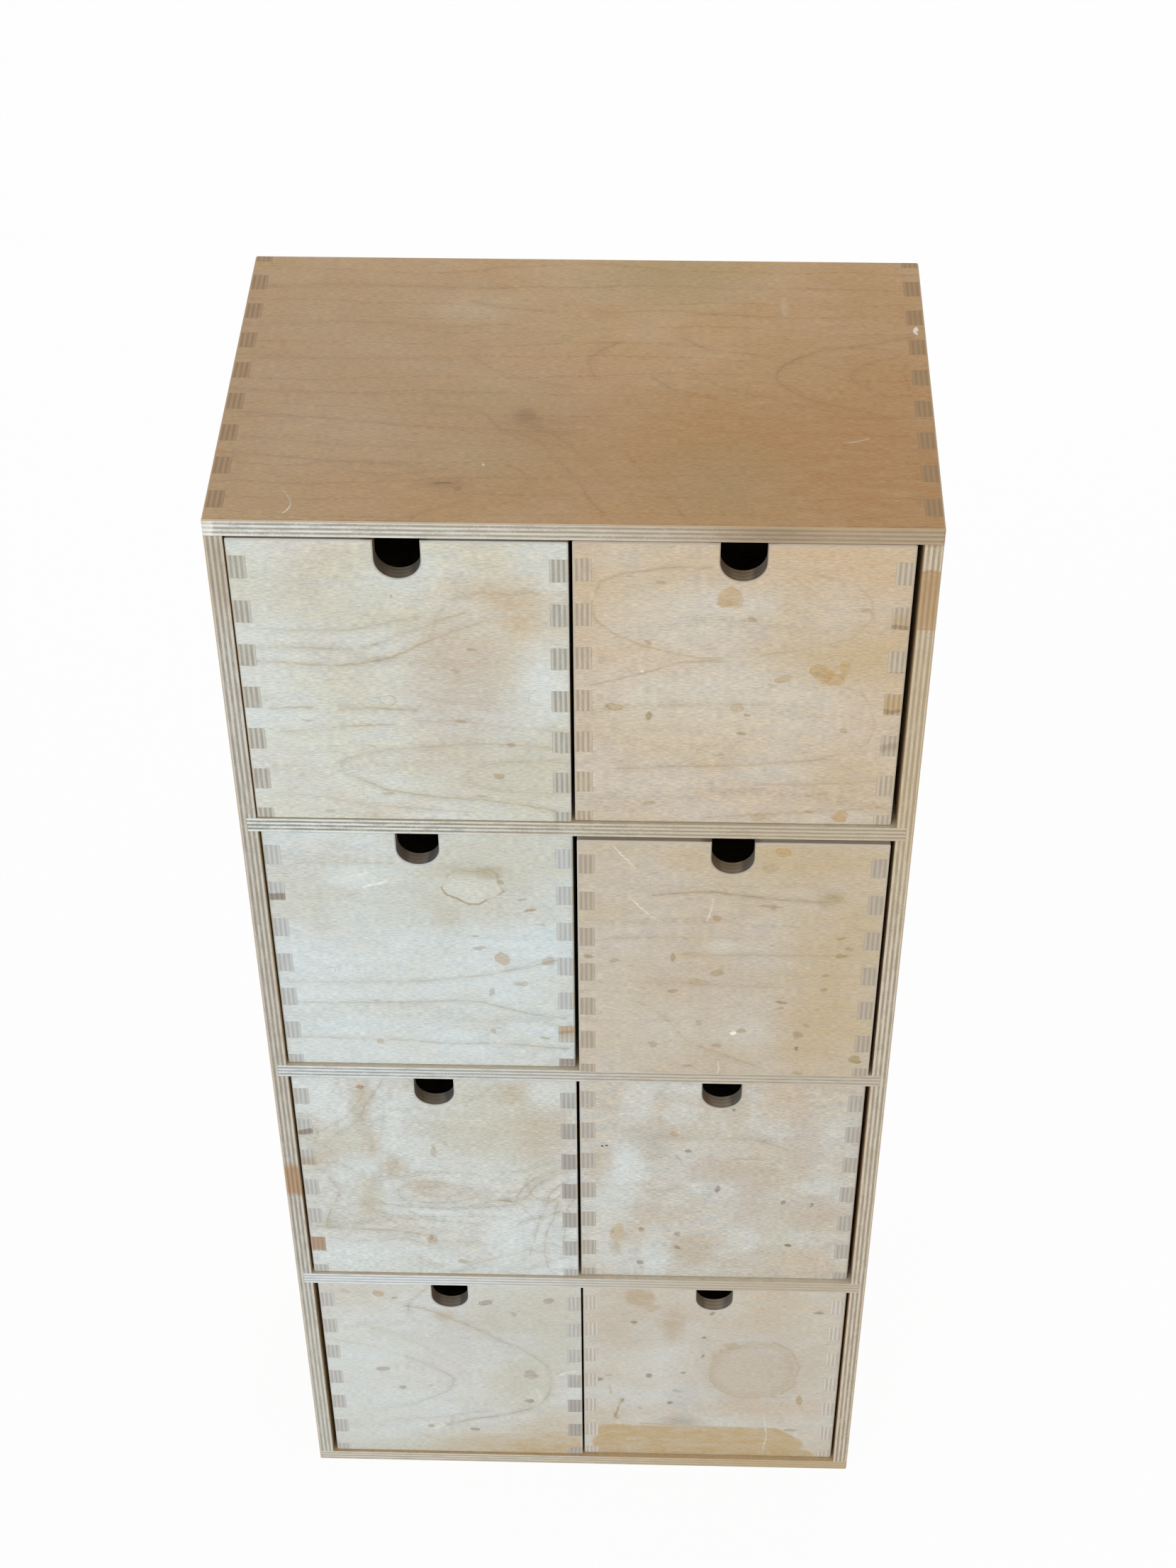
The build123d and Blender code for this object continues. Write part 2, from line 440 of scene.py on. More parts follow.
def veneer(graph, place, wood, seed):
    """The face of the sheet: its colour, and a height for its fine relief."""
    flat = graph.vector("ADD", place, scaled(FACE_STEP, seed))
    other = graph.vector("ADD", flat, SECOND_PATTERN)
    cloud = graph.noise(flat, (*wood.cloud, 0.0), 4.0)
    flush = graph.noise(other, (*scaled(wood.cloud, 1.15), 0.0), 4.0)
    mottle = graph.noise(flat, MOTTLE_WAVES, 3.0)
    pore = graph.noise(flat, PORE_WAVES, 3.0)
    patches = graph.step(graph.noise(flat, PATCH_WAVES, 2.0), 0.36, 0.58, 0.25, 1.0)
    streaks = graph.step(graph.noise(other, STREAK_WAVES, 4.0), 0.30, 0.70, 0.70, 1.15)

    # Two tones in clouds along the grain, a blush over them, and small mottles
    blend = graph.math("ADD", graph.math("MULTIPLY", cloud, 0.75), graph.math("MULTIPLY", mottle, 0.25))
    colour = graph.mix(graph.step(blend, 0.40, 0.60), srgb(*wood.cool), srgb(*wood.warm))
    colour = graph.mix(graph.step(flush, 0.46, 0.68, 0.0, wood.blush_share), colour, srgb(*wood.blush))
    spread = MOTTLE_SPREAD * wood.grain
    shade = graph.step(mottle, 0.22, 0.78, 1.0 - spread, 1.0 + spread)
    colour = graph.mix(1.0, colour, shade, "MULTIPLY")

    # Late wood darkens slowly towards each growth line, and the next ring starts sharply
    ring_end = 0.94
    level = graph.math("FRACT", growth_field(graph, place, flat, wood))
    late = graph.step(level, 0.95 - wood.line_share, ring_end)
    late = graph.math("MULTIPLY", late, graph.step(level, ring_end, 1.0, 1.0, 0.0))
    late = graph.math("MULTIPLY", late, graph.step(flush, 0.38, 0.60, 0.3, 1.0))
    late = graph.math("MULTIPLY", late, graph.step(pore, 0.30, 0.65, 1.2, 0.5))
    colour = graph.mix(graph.math("MULTIPLY", late, wood.ring), colour, RING_SHADE, "MULTIPLY")

    # Short dark flecks, scattered thinly
    bent = graph.vector("ADD", flat, graph.shake(flat, (0.3, 0.5, 0.0), 1.6))
    values = {"Vector": graph.vector("MULTIPLY", bent, FLECK_WAVES), "Scale": 1.0}
    cells = graph.node("ShaderNodeTexVoronoi", values, voronoi_dimensions="2D").outputs
    chosen = graph.step(graph.split(cells["Color"])[0], 0.60, 0.80)
    fleck = graph.math("MULTIPLY", graph.step(cells["Distance"], 0.02, 0.12, 1.0, 0.0), chosen)
    colour = graph.mix(graph.math("MULTIPLY", fleck, FLECK_STRENGTH), colour, FLECK_SHADE, "MULTIPLY")

    # What is this panel's own: its growth lines, marks with an uneven outline, and strokes
    swayed = graph.vector("ADD", place, graph.shake(flat, (0.03, 0.06, 0.0), 3.0))
    swayed = graph.vector("ADD", swayed, graph.shake(flat, (0.20, 0.30, 0.0), 1.8))
    colour, track = add_lines(graph, colour, swayed, wood.lines, patches)
    shaken = graph.vector("ADD", place, graph.shake(flat, (0.12, 0.15, 0.0), 6.0))
    colour = add_marks(graph, colour, shaken, wood.marks, patches, streaks)
    colour = add_strokes(graph, colour, track, wood.strokes, patches, streaks)

    # Pores over everything
    spread = PORE_SPREAD * wood.grain
    shade = graph.step(pore, 0.25, 0.75, 1.0 - spread, 1.0 + spread)
    colour = graph.mix(1.0, colour, shade, "MULTIPLY")
    height = graph.math("ADD", pore, graph.math("MULTIPLY", late, -0.4))
    return colour, height


def ply_edge(graph, place, wood, seed, thickness, plies):
    """The edge of the sheet: light and dark plies in turn, which show through its stains and through the
    painted shade on a drawer front's notch.
    """
    grain = graph.vector("ADD", place, scaled(EDGE_STEP, seed))
    waver = graph.noise(grain, (0.03, 0.03, 0.0), 3.0)
    depth = graph.math("DIVIDE", graph.split(place)[2], thickness / plies)
    depth = graph.math("ADD", depth, graph.math("MULTIPLY", graph.math("SUBTRACT", waver, 0.5), 0.5))
    dark = graph.step(graph.math("PINGPONG", graph.math("SUBTRACT", depth, 0.5), 1.0), 0.34, 0.66)

    # Each ply has streaks of its own: its number takes it to another layer of the noise
    u, v, _ = graph.split(grain)
    along = graph.join(u, v, graph.math("MULTIPLY", graph.math("FLOOR", depth), 100.0))
    streak = graph.noise(along, (0.09, 0.09, 0.073), 4.0)
    pore = graph.noise(grain, (1.1, 1.1, 2.2), 2.0)
    tone = graph.math("ADD", dark, graph.step(streak, 0.3, 0.7, -0.32, 0.32))
    tone = graph.math("ADD", tone, graph.step(pore, 0.3, 0.7, -0.22, 0.22), clamp=True)

    light_tone, dark_tone = wood.edge
    colour = graph.mix(tone, srgb(*light_tone), srgb(*dark_tone))
    shaken = graph.vector("ADD", place, graph.shake(grain, (0.08, 0.08, 0.08), 6.0))
    colour = add_marks(graph, colour, shaken, wood.edge_marks, 1.0, 1.0)
    shade = graph.step(tone, 0.0, 1.0, LIGHT_PLY_SHADE, DARK_PLY_SHADE)
    colour = graph.mix(1.0, colour, shade, "MULTIPLY")
    return colour, graph.math("MULTIPLY", graph.math("ADD", tone, pore), -0.6)


def panel_material(name, wood, axes, plies, seed):
    """Dresses one panel; axes names its grain, the way across it and the way through the sheet."""
    low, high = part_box(name)
    order = ["xyz".index(axis) for axis in axes]
    thickness = (high[order[2]] - low[order[2]]) * MM
    material = bpy.data.materials.new(name + "_birch")
    graph = emptied_graph(material)

    corner = graph.vector("SUBTRACT", graph.node("ShaderNodeTexCoord").outputs["Object"], low)
    parts = graph.split(graph.stretch(corner, MM))
    place = graph.join(*[parts[i] for i in order])

    # Veneer on the faces, plies on the edges, and paler plies on the sanded corners between them, paler
    # partly as fresh wood and partly as a painted highlight
    normal = graph.node("ShaderNodeNewGeometry").outputs["True Normal"]
    facing = graph.math("ABSOLUTE", graph.split(normal)[order[2]])
    face = graph.step(facing, 0.80, 0.95)
    # The sanded corners' share, which takes the pale tone that is partly a painted highlight
    sanded_highlight = graph.step(facing, 0.30, 0.60, 0.0, 0.7)
    face_colour, face_height = veneer(graph, place, wood, seed)
    edge_colour, edge_height = ply_edge(graph, place, wood, seed, thickness, plies)
    edge_colour = graph.mix(sanded_highlight, edge_colour, srgb(*scaled(wood.cool, SANDED_HIGHLIGHT_TONE)))
    face_part = graph.math("MULTIPLY", face_height, face)
    edge_part = graph.math("MULTIPLY", edge_height, graph.math("SUBTRACT", 1.0, face))
    height = graph.math("ADD", face_part, edge_part)

    bump = graph.node("ShaderNodeBump", {
        "Height": height, "Strength": RELIEF_STRENGTH, "Distance": RELIEF_HEIGHT,
    })
    shader = graph.node("ShaderNodeBsdfPrincipled", {
        "Base Color": graph.mix(face, edge_colour, face_colour),
        "Roughness": graph.step(height, 0.0, 1.0, PORE_ROUGHNESS, CREST_ROUGHNESS),
        "Specular IOR Level": SPECULAR_LEVEL,
        "Normal": bump.outputs[0],
    })
    graph.node("ShaderNodeOutputMaterial", {"Surface": shader.outputs[0]})
    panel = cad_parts[name]
    panel.data.materials.clear()
    panel.data.materials.append(material)


# Drawer fronts by column and row from the top, each with its own tone and figure
FRONTS = {}

FRONTS["left", 1] = Wood(
    (209, 213, 207), (205, 203, 186), grain=1.25, slope=0.03, wander=0.4, ring=0.2, line_share=0.3,
    edge=((190, 187, 175), (170, 166, 156)),
    lines=[
        line(0.88, (0, 93), (20, 93), (40, 91), (55, 93), (70, 97), (85, 106), (97, 113), (110, 118)),
        line(0.72, (0, 101), (25, 101), (45, 100), (60, 103), (75, 110), (90, 118), (100, 122)),
        line(0.56, (5, 112), (40, 110), (60, 113), (80, 119)),
        line(0.72, (84, 108), (88, 122), (95, 129), (105, 132), (118, 131), (130, 133)),
        line(0.95, (12, 66), (30, 67)), line(0.95, (43, 66), (60, 67), (76, 66)),
        line(0.64, (76, 60), (95, 60), (110, 58), (125, 57), (141, 54)),
        line(0.64, (15, 52), (30, 54), (50, 57), (66, 58)),
        line(0.8, (144, 44), (120, 47), (100, 47), (80, 45), (60, 42), (45, 38), (40, 33), (43, 28),
             (52, 23), (65, 18), (80, 15), (100, 14), (125, 10), (144, 5)),
        line(0.72, (140, 38), (120, 37), (105, 34), (96, 29), (97, 25), (105, 21), (120, 18), (138, 17)),
        line(0.48, (20, 15), (50, 10), (70, 7), (100, 5)),
    ],
    marks=[
        haze("pale", (8, 95, 26, 46, 0.45), (20, 24, 40, 36, 0.32), (133, 84, 12, 20, 0.75),
             (112, 62, 28, 6, 0.4)),
        haze("straw", (46, 126, 34, 18, 0.35), (120, 30, 36, 24, 0.6)),
        haze("rose", (96, 80, 22, 34, 0.75)), haze("peach", (114, 124, 28, 28, 0.28)),
        haze("amber", (121, 127, 12, 11, 0.36), (124, 115, 6, 10, 0.34)),
        stain_and_shade("brown", (102, 101, 2.4, 1.2, 0.6), (112, 28, 2.8, 1.8, 0.55), (95, 89, 2, 1.2),
              (61, 16, 2.4, 1), (104, 16, 3, 0.8), (118, 47, 2.4, 1)),
        outline("brown", (64, 72, 3.4, 3.4, 0.8), (49, 13, 2.4, 3.4, 0.9), (73, 129, 4, 1.6, 0.6)),
        outline("grey", (129, 74, 3, 4, 0.9)),
        stain_and_shade("grey", (28, 59, 3, 1), (55, 45, 2.4, 1), (34, 5, 2.4, 0.9), (34, 26, 2.4, 0.8)),
        stain_and_shade("olive", (96, 60, 3, 0.8)),
    ],
)

FRONTS["right", 1] = Wood(
    (203, 193, 177), (200, 184, 159), grain=1.25, slope=0.02, wander=0.25,
    edge=((194, 180, 158), (180, 166, 146)),
    lines=[
        line(0.56, (20, 33), (60, 35), (85, 36), (112, 40)),
        line(0.48, (60, 26), (85, 25), (110, 24), (140, 27)), line(0.48, (60, 4), (100, 7), (140, 11)),
        line(0.4, (40, 70), (80, 72), (110, 70)),
    ],
    marks=[
        haze("peach", (116, 150, 56, 16, 0.75), (134, 92, 22, 60, 0.5), (18, 97, 32, 11, 0.45),
             (5, 130, 14, 26, 0.4)),
        haze("sand", (118, 98, 26, 14, 0.55), (95, 128, 10, 14, 0.3), (122, 28, 14, 14, 0.2)),
        haze("cream", (44, 120, 40, 14, 0.22), (62, 72, 56, 20, 0.28)),
        stain_and_shade("amber", (67, 130, 5.6, 5.4, 0.6, 0.75), (108, 90, 5, 3.8, 0.65, 0.8),
              (113, 86, 5, 3, 0.6, 0.7), (118, 92, 2.4, 5, 0.5), (121, 5, 3.4, 3.2, 0.7, 1)),
        stain_and_shade("olive", (65, 127, 3.4, 2, 0.25), (107, 89, 3, 1.6, 0.4)),
        stain_and_shade("tan", (92, 86, 4, 2, 0.8, 1), (18, 69, 3.8, 1.9, 0.7, 1), (72, 69, 2.6, 2.2, 0.7, 1),
              (84, 4, 3, 2.2, 0.8, 1)),
        stain_and_shade("olive", (15, 69, 1.2, 1.2, 0.6), (33, 64, 1.6, 2.8, 0.9), (76, 65, 1.6, 1, 0.6),
              (74, 54, 2.2, 1.4, 0.8)),
        stain_and_shade("brown", (33, 12, 3, 1.2, 0.6), (77, 118, 2, 1.4, 0.7), (37, 139, 2.4, 1),
              (125, 124, 3, 1.2, 0.6), (113, 19, 2.8, 1), (119, 57, 1.8, 1), (106, 8, 2.4, 1),
              (112, 105, 2.6, 0.9), (32, 106, 2, 0.9)),
        stain_and_shade("grey", (65, 41, 2.4, 0.9, 0.7), (87, 82, 2.2, 1.4), (13, 96, 1.4, 1.8)),
        stain_and_shade("white", (30, 89, 0.9, 0.9, 0.7)),
    ],
    strokes=[
        stroke("tan", 1.3, 0.75, (46, 99), (30, 104), (18, 110), (10, 117), (8, 127), (11, 138),
               (22, 143), (40, 146), (58, 146)),
        stroke("tan", 1.2, 0.55, (84, 147), (105, 143), (120, 139), (127, 130), (128, 120), (121, 110),
               (108, 105)),
        stroke("tan", 1.2, 0.6, (108, 105), (95, 102), (80, 99), (60, 97), (46, 99)),
        stroke("tan", 1.3, 0.75, (8, 81), (18, 84), (30, 88), (45, 94), (60, 96), (80, 95)),
        stroke("tan", 1.2, 0.55, (112, 84), (126, 79), (131, 70), (133, 60), (131, 50), (122, 44),
               (110, 41)),
    ],
)

FRONTS["left", 2] = Wood(
    (209, 219, 220), (206, 209, 203), blush=(203, 202, 193), grain=1.2, slope=0.01, wander=0.25, ring=0.2,
    lines=[
        line(0.8, (5, 59), (30, 59), (50, 60), (70, 61), (90, 63), (105, 66), (115, 70), (125, 73),
             (136, 77)),
        line(0.75, (0, 45), (25, 44), (50, 45), (75, 46), (92, 48), (103, 46), (112, 42), (125, 38),
             (140, 36)),
        line(0.7, (5, 19), (30, 19), (60, 18), (80, 16), (105, 17), (125, 15), (141, 14)),
        line(0.45, (12, 138), (25, 140), (45, 139), (60, 140)),
        line(0.35, (20, 117), (30, 116), (42, 118)),
    ],
    marks=[
        haze("straw", (112, 148, 50, 22, 0.65), (28, 117, 30, 14, 0.45)),
        haze("olive", (84, 106, 7, 10, 0.25)),
        haze("straw", (70, 110, 20, 14, 0.35), (94, 120, 30, 26, 0.4)),
        haze("olive", (100, 136, 10, 5, 0.35)),
        haze("pale", (60, 66, 60, 24, 0.35), (40, 10, 50, 16, 0.5), (15, 46, 16, 12, 0.4),
             (41, 131, 10, 6, 0.7)),
        haze("cream", (96, 124, 12, 9, 0.5)), haze("olive", (105, 135, 6, 4, 0.4), (86, 135, 7, 4, 0.3)),
        stain_and_shade("cream", (42, 131, 5, 3, 0.5)), stain_and_shade("pale", (34, 128, 6, 2, 0.4)),
        stain_and_shade("tan", (110, 77, 3.4, 3.4, 0.65, 0.9)),
        stain_and_shade("brown", (132, 76, 3, 2.4, 0.4), (118, 60, 3.4, 1.8, 0.45, 0.5), (124, 110, 3, 1, 0.6),
              (97, 92, 1.6, 1, 0.5), (128, 101, 2.2, 0.8, 0.5), (48, 17, 2.2, 2, 0.45),
              (120, 117, 1.6, 1, 0.6)),
        stain_and_shade("grey", (99, 85, 3, 1, 0.7), (104, 54, 1.6, 2.4, 0.6), (104, 25, 1.2, 2.2, 0.7),
              (130, 21, 3, 1.2, 0.7)),
        outline("grey", (25, 67, 3, 2.2, 0.9)), stain_and_shade("olive", (110, 129, 1.8, 1.4, 0.6)),
    ],
    strokes=[
        stroke("olive", 1, 0.8, (82, 124.5), (84, 119.5), (90, 116.5), (95, 113.2), (100, 113),
               (104, 116.8), (107, 118), (111.5, 122.5)),
        stroke("olive", 1.2, 0.4, (111.5, 122.5), (109.5, 128), (108.5, 134), (104, 137), (98, 134.5),
               (91, 136.7), (86, 133.6), (84, 129), (82, 124.5)),
        stroke("white", 1.4, 0.85, (46, 124), (51, 126), (57, 128)),
        stroke("white", 1.6, 0.5, (39, 130), (47, 133)),
        stroke("grey", 1, 0.55, (32, 120.5), (36, 118), (43, 120)),
    ],
)

FRONTS["right", 2] = Wood(
    (199, 190, 176), (195, 182, 159), grain=1.15, slope=0.03, wander=0.35, ring=0.25,
    lines=[
        line(0.75, (36, 125), (50, 127), (62, 128), (80, 125), (100, 123), (116, 122)),
        line(0.6, (50, 86), (70, 85), (100, 86), (130, 86)),
        line(0.6, (20, 56), (32, 50), (42, 42), (47, 34), (52, 26), (60, 20), (75, 13), (90, 6)),
        line(0.35, (0, 60), (15, 60), (30, 58)), line(0.35, (30, 70), (50, 66), (75, 64), (100, 64)),
        line(0.35, (85, 22), (105, 20), (135, 14)), line(0.35, (10, 95), (50, 98), (90, 96)),
    ],
    marks=[
        haze("sand", (130, 70, 26, 90, 0.55), (100, 150, 46, 12, 0.6), (112, 30, 16, 22, 0.5),
             (50, 149, 10, 8, 0.4)),
        haze("rose", (60, 58, 40, 30, 0.35)), haze("cream", (68, 92, 6, 6, 0.3), (14, 48, 20, 30, 0.25)),
        haze("rose", (66, 22, 44, 16, 0.25)), haze("cream", (50, 34, 12, 18, 0.2), (82, 30, 14, 12, 0.2)),
        stain_and_shade("tan", (90, 143, 3.2, 3, 0.7, 1), (58, 66, 4, 2.8, 0.6, 0.9)),
        stain_and_shade("amber", (95, 153, 3.6, 2.4, 0.6, 0.9)),
        stain_and_shade("brown", (66, 110, 2.4, 2.2, 0.6, 0.8), (67, 73, 3.2, 1.4, 0.5), (46, 60, 2.4, 1.2, 0.7),
              (91, 118, 6, 0.9, 0.7), (108, 30, 2.8, 1.8, 0.6), (5, 83, 2, 1.6, 0.7),
              (80, 32, 2.6, 1.6, 0.5), (119, 62, 1.6, 1.4, 0.7), (119, 72, 1.8, 0.9, 0.7),
              (99, 53, 3, 0.9, 0.8), (98, 49, 1.8, 0.8, 0.7), (37, 22, 2.4, 1.6, 0.5),
              (68, 22, 2.4, 1.4, 0.5), (54, 6, 2.6, 1, 0.6), (59, 38, 1.4, 1.8, 0.5),
              (18, 81, 2.4, 1.2, 0.6), (112, 37, 1.6, 1.4, 0.6), (125, 98, 2.6, 0.9, 0.6)),
        haze("olive", (119, 124, 5, 5, 0.6)),
        stain_and_shade("olive", (45, 84, 1.4, 3, 0.7), (137, 13, 3, 2.8, 0.8), (126, 86, 2.8, 1.2, 0.8),
              (130, 90, 1.6, 1.2, 0.7), (109, 2, 3, 1.4, 0.6)),
        stain_and_shade("umber", (108, 21, 1.2, 1.2, 0.7)), stain_and_shade("white", (76, 31, 1.6, 1.4, 1)),
    ],
    strokes=[
        stroke("white", 0.6, 0.55, (17, 156), (22, 149), (27, 142)),
        stroke("white", 0.6, 0.6, (24, 123), (33, 113), (40, 107)),
        stroke("white", 0.7, 0.65, (64, 122), (61, 109)),
        stroke("white", 1, 0.9, (32.6, 113.5), (33.6, 112.5)),
        stroke("white", 0.8, 0.35, (69, 2), (69, 10)),
    ],
)

FRONTS["left", 3] = Wood(
    (210, 216, 214), (205, 206, 199), blush=(202, 195, 182), grain=1.5, slope=0.02, wander=0.8, ring=0.45,
    line_share=0.3,
    hills=[Hill(72, 68, 30, 12, 1.6), Hill(130, 60, 16, 46, 2), Hill(32, 125, 14, 34, 2)],
    lines=[
        line(0.64, (50, 72), (55, 77), (65, 78), (80, 77), (90, 73), (92, 68), (85, 63), (70, 61),
             (55, 62), (48, 67), (50, 72)),
        line(0.69, (38, 80), (33, 72), (36, 62), (45, 58), (60, 57), (75, 56), (90, 57), (102, 59),
             (112, 60), (118, 66), (122, 76), (130, 84), (141, 90)),
        line(0.68, (105, 64), (112, 62), (113, 68), (118, 78), (126, 86), (139, 93)),
        line(0.59, (100, 26), (107, 35), (112, 45), (122, 50), (135, 55)),
        line(0.59, (118, 18), (122, 35), (124, 48), (128, 60), (130, 72), (137, 80)),
        line(0.59, (128, 8), (126, 25), (128, 40), (133, 52), (134, 64)),
        line(0.49, (138, 18), (136, 35), (138, 46)),
        line(0.64, (0, 40), (15, 38), (30, 38), (45, 37), (58, 35), (66, 33)),
        line(0.49, (12, 30), (20, 28), (30, 27)), line(0.54, (36, 27), (48, 30), (58, 28), (64, 24)),
        line(0.54, (112, 19), (98, 14), (86, 8), (78, 2)),
        line(0.49, (10, 40), (12, 52), (17, 62), (20, 72), (14, 79)),
        line(0.49, (30, 62), (34, 54), (42, 51)), line(0.49, (45, 101), (51, 95), (48, 88), (46, 84)),
        line(0.49, (64, 137), (50, 136), (42, 128), (36, 118), (39, 106)),
        line(0.59, (47, 159), (42, 148), (37, 140), (33, 128), (26, 120), (14, 108)),
        line(0.59, (40, 159), (35, 146), (31, 136), (24, 126), (10, 116)),
        line(0.49, (15, 159), (13, 150), (6, 144)), line(0.49, (24, 156), (25, 145), (20, 135), (5, 130)),
        line(0.49, (70, 141), (88, 142), (96, 148), (104, 156)),
        line(0.39, (62, 116), (72, 113), (82, 106)), line(0.49, (96, 88), (110, 87), (122, 90), (135, 98)),
        line(0.39, (40, 48), (60, 47), (80, 45), (96, 42)),
    ],
    marks=[
        haze("straw", (110, 126, 36, 32, 0.85)), haze("rose", (128, 118, 14, 26, 0.6)),
        haze("tan", (114, 150, 9, 8, 0.5), (34, 142, 6, 20, 0.5)), haze("straw", (24, 108, 18, 12, 0.7)),
        haze("tan", (38, 107, 5, 8, 0.45), (8, 95, 8, 8, 0.5), (48, 90, 7, 8, 0.4), (64, 75, 8, 5, 0.5)),
        haze("rose", (70, 68, 20, 6, 0.5)), haze("straw", (34, 70, 8, 12, 0.6)),
        haze("tan", (34, 56, 5, 8, 0.4)),
        haze("pale", (14, 144, 14, 18, 0.75), (56, 110, 14, 8, 0.5), (88, 84, 22, 12, 0.3),
             (22, 14, 34, 14, 0.85), (106, 32, 10, 22, 0.75), (128, 148, 10, 10, 0.6)),
        stain_and_shade("tan", (66, 30, 3, 4.5, 0.6)), stain_and_shade("umber", (66, 32, 1, 1.6, 0.4)),
        stain_and_shade("brown", (35, 153, 2.4, 1.6, 0.8), (106, 63, 3.4, 1, 0.6), (70, 103, 1.6, 5, 0.4)),
        stain_and_shade("olive", (83, 11, 3.4, 1.8, 0.6)),
    ],
)

FRONTS["right", 3] = Wood(
    (202, 202, 195), (198, 189, 173), blush=(196, 183, 165), blush_share=0.5, grain=1.55, slope=0.02,
    wander=0.7, ring=0.12, line_share=0.3,
    lines=[
        line(0.4, (78, 116), (92, 115), (104, 110), (112, 106)),
        line(0.35, (80, 99), (95, 100), (104, 98), (100, 92)),
    ],
    marks=[
        haze("pale", (25, 92, 8, 18, 0.9), (12, 40, 12, 40, 0.45)), blot("pale", (30, 143, 9, 18, 0.45)),
        haze("grey", (36, 114, 11, 16, 0.35)), blot("pale", (52, 134, 10, 8, 0.35), (40, 20, 7, 20, 0.4)),
        blot("rose", (80, 142, 6, 22, 0.6)), blot("peach", (104, 144, 12, 18, 0.3)),
        blot("rose", (115, 114, 9, 26, 0.65), (70, 90, 15, 11, 0.55), (90, 84, 13, 14, 0.5)),
        haze("rose", (92, 62, 12, 20, 0.6)), blot("rose", (118, 56, 16, 14, 0.55), (34, 57, 8, 9, 0.5)),
        blot("tan", (60, 24, 11, 14, 0.4)), blot("peach", (122, 14, 18, 12, 0.28)),
        haze("straw", (70, 124, 18, 12, 0.5), (104, 40, 8, 22, 0.6)),
        blot("pale", (86, 33, 9, 12, 0.35), (122, 77, 10, 6, 0.3)), haze("tan", (8, 92, 4, 12, 0.3)),
        stain_and_shade("black", (11, 108.2, 1, 0.9, 0.95), (13.8, 108, 1, 0.9, 0.95)),
        stain_and_shade("tan", (48, 118, 2.6, 3.2, 0.7, 1)),
        stain_and_shade("drab", (56, 105, 2, 1.6, 0.8), (72, 74, 1, 2.4, 0.8), (107, 65, 1.6, 1.8, 0.8),
              (111, 29, 2.2, 1.4, 0.95), (122, 64, 1, 1.8, 0.7), (32, 40, 1.6, 2, 0.7),
              (52, 37, 1.4, 2.4, 0.6), (52, 26, 1.4, 1.6, 0.6)),
        outline("grey", (53, 71, 2.4, 2.4, 1)), stain_and_shade("umber", (79, 138, 1, 1.2, 0.6)),
        stain_and_shade("sand", (20, 36, 3.6, 8.5, 0.6, 0.5)),
        stain_and_shade("drab", (18, 38, 0.8, 2, 0.4), (32, 12, 1.8, 1.6, 0.7)), haze("olive", (18, 24, 3, 4, 0.5)),
    ],
    strokes=[
        stroke("brown", 0.9, 0.8, (50, 102), (52, 99), (53, 95)),
        stroke("cream", 1.2, 0.5, (82, 98), (100, 98), (105, 94)),
    ],
)

FRONTS["left", 4] = Wood(
    (213, 217, 214), (209, 209, 201), blush=(208, 202, 192), slope=0.01, wander=0.2, ring=0.12,
    lines=[
        line(0.75, (48, 140), (60, 137), (72, 129), (82, 123), (92, 115), (100, 108), (110, 103),
             (118, 94), (126, 85), (127, 72), (126, 60), (121, 50), (117, 46), (105, 41), (95, 37),
             (80, 34), (66, 28)),
        line(0.42, (0, 108), (25, 103), (45, 94), (60, 84), (70, 76), (72, 70), (68, 62), (58, 54),
             (45, 46), (30, 42), (18, 40)),
        line(0.6, (60, 157), (55, 150), (48, 142), (49, 134)), line(0.3, (40, 20), (52, 18), (60, 12)),
        line(0.3, (20, 124), (45, 112), (62, 98)), line(0.3, (30, 30), (60, 34), (90, 42)),
    ],
    marks=[
        haze("sand", (118, 2, 60, 18, 0.85), (132, 28, 24, 14, 0.45)),
        haze("straw", (40, 2, 56, 12, 0.45)), haze("grey", (92, 118, 46, 28, 0.22)),
        haze("pale", (16, 56, 40, 44, 0.45)),
        haze("straw", (112, 76, 16, 26, 0.6), (134, 120, 18, 40, 0.6), (110, 140, 40, 18, 0.4)),
        haze("pale", (24, 100, 34, 10, 0.4)), haze("tan", (68, 131, 5, 5, 0.45)),
        stain_and_shade("tan", (33, 151, 3.2, 2.4, 0.8, 0.9)),
        stain_and_shade("drab", (92, 144, 3.2, 2, 0.6, 0.8), (127, 146, 2.6, 2.2, 0.45, 0.5), (115, 78, 4, 4, 0.45),
              (114, 52, 2.8, 1.8, 0.6), (41, 147, 1.6, 1.2, 0.5), (82, 24, 2.2, 1.8, 0.6)),
        stain_and_shade("grey", (31, 81, 3.4, 2, 0.7, 0.8), (42, 63, 2.6, 1.8, 0.8), (58, 66, 2, 1, 0.8),
              (108, 134, 1.8, 1.4, 0.7), (57, 26, 2.2, 1.4, 0.8), (15, 152, 2.6, 1.4, 0.5)),
    ],
    strokes=[
        stroke("white", 1.1, 0.9, (128, 75), (134, 79), (141, 82)),
        stroke("white", 0.8, 0.5, (130, 62), (141, 62)),
        stroke("white", 1, 0.6, (50, 26), (57, 30), (64, 28), (61, 24), (54, 22), (50, 26)),
        stroke("cream", 2.2, 0.6, (119, 63), (121, 52), (118, 47)),
        stroke("white", 1.4, 0.4, (57, 117), (58, 112)),
    ],
)

